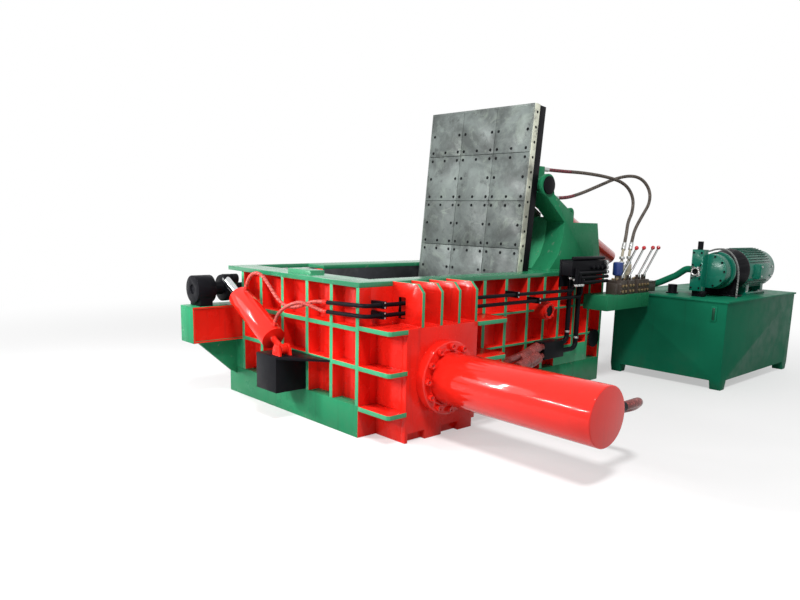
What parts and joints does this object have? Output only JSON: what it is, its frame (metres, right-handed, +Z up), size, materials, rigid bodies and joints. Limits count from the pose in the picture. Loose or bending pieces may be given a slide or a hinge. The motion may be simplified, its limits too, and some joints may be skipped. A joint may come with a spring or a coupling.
{
  "type": "scrap metal baler",
  "caption": "Scrap metal baling press with a swinging plated lid, main and feed rams, bale turn-out flap, lever valve stand and a separate hydraulic power pack.",
  "frame": {"origin": "centre of the press base's underside, on the floor", "axes": "+X along the main cylinder towards its blind end, +Y from the turn-out end past the lid hinge to the power pack, +Z up"},
  "size_m": [3.923, 6.564, 2.9174],
  "materials": {
    "red_paint": "semi-gloss enamel",
    "green_paint": "semi-gloss enamel",
    "dark_green_paint": "semi-gloss enamel",
    "teal_paint": "gloss enamel",
    "black_paint": "satin enamel",
    "worn_steel": "rolled plate, oiled",
    "polished_rod": "hard chrome",
    "pipe_paint": "satin enamel",
    "hose_rubber": "textile covered",
    "grey_hose": "matt",
    "valve_paint": "satin enamel",
    "red_knob": "moulded ball on a plated stem",
    "gauge_glass": "clear window in a pale frame"
  },
  "bodies": {
    "press": {"base_frame": "green_paint", "bell_housing": "teal_paint", "chamber_liners": "worn_steel", "cylinder_flange": "red_paint", "cylinder_gussets": "red_paint", "drain_hose": "grey_hose", "drop_pipes": "pipe_paint", "feed_barrel": "red_paint", "filler_cap": "black_paint", "flange_bolts": "red_paint", "flange_plate": "red_paint", "floor_plate": "worn_steel", "level_gauge": "gauge_glass", "lid_bracket_far": "green_paint", "lid_bracket_near": "green_paint", "lid_hose_front": "hose_rubber", "lid_hose_rear": "hose_rubber", "main_barrel": "red_paint", "main_pipes": "pipe_paint", "motor": "teal_paint", "oil_tank": "dark_green_paint", "pipe_clamps": "black_paint", "pipe_manifold": "red_paint", "pressure_pipe": "teal_paint", "pump_unit": "teal_paint", "ram_housing": "red_paint", "rear_housing": "red_paint", "rim_plate": "green_paint", "trunnion_caps": "black_paint", "turnout_beam": "green_paint", "turnout_bearing": "black_paint", "turnout_bracket": "black_paint", "turnout_hose_lower": "red_paint", "turnout_hose_upper": "red_paint", "valve_block": "valve_paint", "valve_stand": "green_paint", "wall_far": "red_paint", "wall_left": "red_paint", "wall_right": "red_paint", "wrap_plates": "red_paint"},
    "lid": {"lid_frame": "black_paint", "lid_liner_plates": "worn_steel", "lid_blades": "worn_steel", "lid_shaft": "worn_steel"},
    "lid_barrel_near": {"lid_barrel_near": "red_paint"},
    "lid_barrel_far": {"lid_barrel_far": "red_paint"},
    "lid_rod_near": {"lid_rod_near": "polished_rod"},
    "lid_rod_far": {"lid_rod_far": "polished_rod"},
    "main_ram": {"main_ram_rod": "polished_rod", "main_ram_head": "worn_steel"},
    "feed_ram": {"feed_ram_rod": "polished_rod", "feed_ram_head": "worn_steel"},
    "turnout": {"turnout_shaft": "black_paint", "turnout_flipper": "worn_steel"},
    "turnout_barrel": {"turnout_barrel": "red_paint"},
    "turnout_rod": {"turnout_rod": "polished_rod"},
    "lever_1": {"lever_1": "red_knob"},
    "lever_2": {"lever_2": "red_knob"},
    "lever_3": {"lever_3": "red_knob"},
    "lever_4": {"lever_4": "red_knob"}
  },
  "joints": [
    {"name": "main_ram_slide", "type": "slide", "parent": "press", "child": "main_ram", "axis": [-1, 0, 0], "range_m": [0, 1.025]},
    {"name": "feed_ram_slide", "type": "slide", "parent": "press", "child": "feed_ram", "axis": [0, -1, 0], "range_m": [0, 1.49]},
    {"name": "lid_hinge", "type": "hinge", "parent": "press", "child": "lid", "pos_m": [1.0205, 0.584, 0.88], "axis": [1, 0, 0], "range_deg": [0, 95]},
    {"name": "lid_barrel_swing_near", "type": "hinge", "parent": "press", "child": "lid_barrel_near", "pos_m": [0.5005, 0.876, 2.128], "axis": [1, 0, 0], "range_deg": [0, 60.6]},
    {"name": "lid_rod_slide_near", "type": "slide", "parent": "lid_barrel_near", "child": "lid_rod_near", "axis": [0, -0.9165, 0.4], "range_m": [0, 1.8655]},
    {"name": "lid_barrel_swing_far", "type": "hinge", "parent": "press", "child": "lid_barrel_far", "pos_m": [-0.3995, 0.876, 2.128], "axis": [1, 0, 0], "range_deg": [0, 60.6]},
    {"name": "lid_rod_slide_far", "type": "slide", "parent": "lid_barrel_far", "child": "lid_rod_far", "axis": [0, -0.9165, 0.4], "range_m": [0, 1.8655]},
    {"name": "turnout_hinge", "type": "hinge", "parent": "press", "child": "turnout", "pos_m": [-0.8915, -1.754, 1.049], "axis": [0, -1, 0], "range_deg": [0, 95]},
    {"name": "turnout_barrel_swing", "type": "hinge", "parent": "press", "child": "turnout_barrel", "pos_m": [0.2405, -1.954, 0.63], "axis": [0, -1, 0], "range_deg": [0, 3.45]},
    {"name": "turnout_rod_slide", "type": "slide", "parent": "turnout_barrel", "child": "turnout_rod", "axis": [-0.8747, 0, 0.4847], "range_m": [0, 0.3105]},
    {"name": "lever_1_hinge", "type": "hinge", "parent": "press", "child": "lever_1", "pos_m": [1.2705, 1.691, 1.185], "axis": [0, 1, 0], "range_deg": [-12, 12], "stiffness_Nm_per_rad": 60},
    {"name": "lever_2_hinge", "type": "hinge", "parent": "press", "child": "lever_2", "pos_m": [1.2705, 1.846, 1.185], "axis": [0, 1, 0], "range_deg": [-12, 12], "stiffness_Nm_per_rad": 60},
    {"name": "lever_3_hinge", "type": "hinge", "parent": "press", "child": "lever_3", "pos_m": [1.2705, 2.041, 1.185], "axis": [0, 1, 0], "range_deg": [-12, 12], "stiffness_Nm_per_rad": 60},
    {"name": "lever_4_hinge", "type": "hinge", "parent": "press", "child": "lever_4", "pos_m": [1.2705, 2.166, 1.185], "axis": [0, 1, 0], "range_deg": [-12, 12], "stiffness_Nm_per_rad": 60}
  ],
  "couplings": [
    {"joint": "lid_barrel_swing_near", "follows": "lid_hinge", "ratio": 0.636},
    {"joint": "lid_rod_slide_near", "follows": "lid_hinge", "m_per_rad": 1.1219},
    {"joint": "lid_barrel_swing_far", "follows": "lid_hinge", "ratio": 0.636},
    {"joint": "lid_rod_slide_far", "follows": "lid_hinge", "m_per_rad": 1.1219},
    {"joint": "turnout_barrel_swing", "follows": "turnout_hinge", "ratio": 0.0358},
    {"joint": "turnout_rod_slide", "follows": "turnout_hinge", "m_per_rad": 0.1871}
  ]
}
